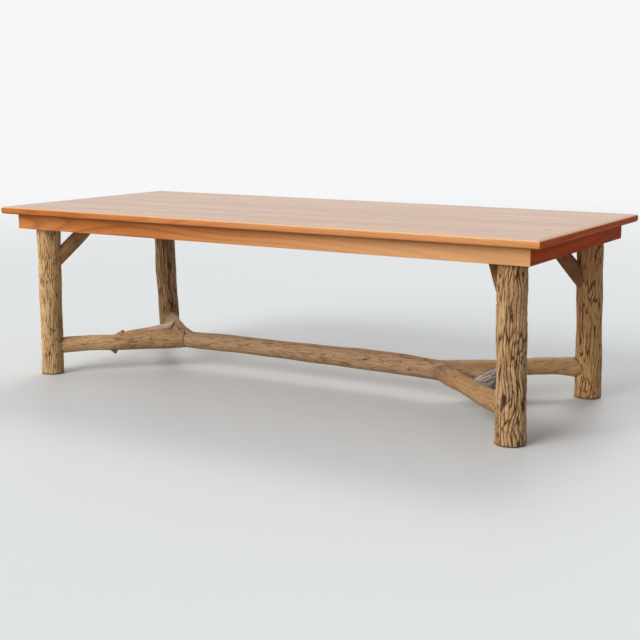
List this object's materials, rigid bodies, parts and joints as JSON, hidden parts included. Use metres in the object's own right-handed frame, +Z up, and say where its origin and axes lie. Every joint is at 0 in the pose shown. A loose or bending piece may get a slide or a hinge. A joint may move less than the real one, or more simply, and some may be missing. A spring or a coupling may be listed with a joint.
{
  "type": "rustic dining table",
  "caption": "Long rectangular oak table with mitred edging and apron on bark-covered log legs, diagonal log braces and a forked log stretcher.",
  "frame": {"origin": "centre of the footprint on the floor, under the middle of the top", "axes": "+Z up; +X along the table's length, to the right seen from the front; -Y is the front"},
  "size_m": [2.44, 1.08, 0.74],
  "materials": {
    "oak_top": "satin varnish",
    "oak_edging": "satin varnish",
    "oak_apron": "satin varnish",
    "plain_wood": "planed, unfinished",
    "hickory_bark": "natural bark, sealed",
    "smooth_log": "smooth bark, sealed",
    "peeled_log": "peeled and weathered",
    "steel": "zinc plated"
  },
  "bodies": {
    "root": {"top_board_1": "oak_top", "top_board_2": "oak_top", "top_board_3": "oak_top", "top_board_4": "oak_top", "top_board_5": "oak_top", "top_board_6": "oak_top", "top_board_7": "oak_top", "top_board_8": "oak_top", "edging_front": "oak_edging", "edging_right": "oak_edging", "edging_back": "oak_edging", "edging_left": "oak_edging", "apron_front": "oak_apron", "apron_right": "oak_apron", "apron_back": "oak_apron", "apron_left": "oak_apron", "glue_blocks": "plain_wood", "end_cleat_left": "plain_wood", "end_cleat_right": "plain_wood", "cross_batten_1": "plain_wood", "cross_batten_2": "plain_wood", "cross_batten_3": "plain_wood", "leg_front_left": "hickory_bark", "leg_front_right": "hickory_bark", "leg_rear_left": "hickory_bark", "leg_rear_right": "hickory_bark", "stretcher_main": "hickory_bark", "limb_front_left": "hickory_bark", "limb_front_right": "smooth_log", "limb_rear_right": "hickory_bark", "rung": "peeled_log", "brace_front_left": "smooth_log", "brace_front_right": "smooth_log", "brace_rear_left": "smooth_log", "brace_rear_right": "smooth_log", "leg_bolts": "steel", "leg_washers": "steel", "cleat_screws": "steel", "batten_screws": "steel", "brace_screws": "steel"}
  },
  "joints": []
}
